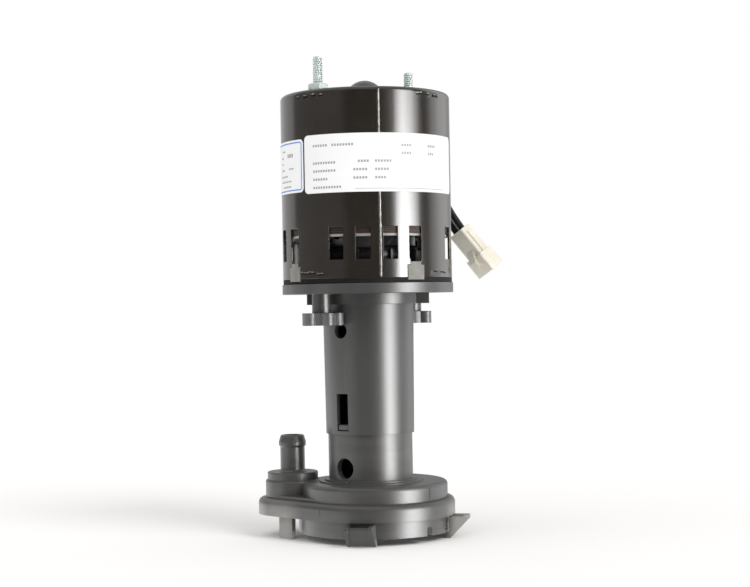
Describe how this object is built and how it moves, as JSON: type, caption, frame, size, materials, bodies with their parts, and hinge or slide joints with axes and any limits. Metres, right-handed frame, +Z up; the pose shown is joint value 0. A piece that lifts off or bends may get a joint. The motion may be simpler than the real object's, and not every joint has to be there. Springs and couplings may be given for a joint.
{
  "type": "ice machine water pump",
  "caption": "Hanging sump pump: a round vented motor over a plain open column, with a flat offset pump casing on scoop feet, a side outlet spigot and a short lead with a connector.",
  "frame": {"origin": "centre of the two mounting studs' circle, in the plane of the upper nuts' top faces", "axes": "+Z up along the motor shaft, out of the mounting studs; -Y is the pictured front; +X to the right of it, away from the outlet"},
  "size_m": [0.1258, 0.094, 0.2348],
  "materials": {
    "shell_paint": "gloss black enamel on sheet steel",
    "cover_paint": "satin black enamel on sheet steel",
    "bare_steel": "pale zinc plated sheet, dull",
    "rubber": "matt black",
    "lamination": "dark varnished laminations",
    "insulator": "pale moulded plastic",
    "bobbin_nylon": "cream nylon",
    "winding_copper": "enamelled copper",
    "bronze": "sintered bronze",
    "felt": "oiled felt",
    "zinc": "bright zinc plating",
    "knob_plastic": "dark grey moulded plastic",
    "column_plastic": "satin dark grey moulded plastic",
    "casing_plastic": "satin dark grey moulded plastic",
    "label_white": "white vinyl film",
    "wire_black": "black vinyl insulation",
    "connector_nylon": "off-white nylon",
    "pin_tin": "tin plated",
    "shaft_steel": "ground steel",
    "cage_aluminium": "cast aluminium",
    "fan_plastic": "black moulded plastic",
    "washer_fibre": "pale fibre",
    "impeller_plastic": "dark grey moulded plastic"
  },
  "bodies": {
    "pump": {"motor_shell": "shell_paint", "top_end_cover": "cover_paint", "lower_end_cover": "bare_steel", "seat_ring": "rubber", "stator_core": "lamination", "stator_insulators": "insulator", "coil_bobbins": "bobbin_nylon", "stator_coils": "winding_copper", "shading_rings": "winding_copper", "upper_bearing": "bronze", "lower_bearing": "bronze", "bearing_retainers": "bare_steel", "oil_wicks": "felt", "mounting_studs": "zinc", "top_nuts": "zinc", "lock_washers": "zinc", "lobed_nuts": "knob_plastic", "pump_column": "column_plastic", "upper_casing": "casing_plastic", "lower_casing": "casing_plastic", "casing_o_ring": "rubber", "inlet_cover": "casing_plastic", "outlet_fitting": "casing_plastic", "data_label": "label_white", "side_label": "label_white", "lead_grommet": "rubber", "lead_wire_a": "wire_black", "lead_wire_b": "wire_black", "connector_housing": "connector_nylon", "connector_pins": "pin_tin"},
    "rotor": {"motor_shaft": "shaft_steel", "rotor_core": "lamination", "rotor_cage": "cage_aluminium", "cooling_fan": "fan_plastic", "shaft_spacer": "shaft_steel", "thrust_washers": "washer_fibre", "water_slinger": "rubber", "impeller": "impeller_plastic", "impeller_clip": "shaft_steel"}
  },
  "joints": [
    {"name": "shaft_spin", "type": "hinge", "parent": "pump", "child": "rotor", "pos_m": [0, 0, -0.1], "axis": [0, 0, 1], "continuous": true}
  ]
}
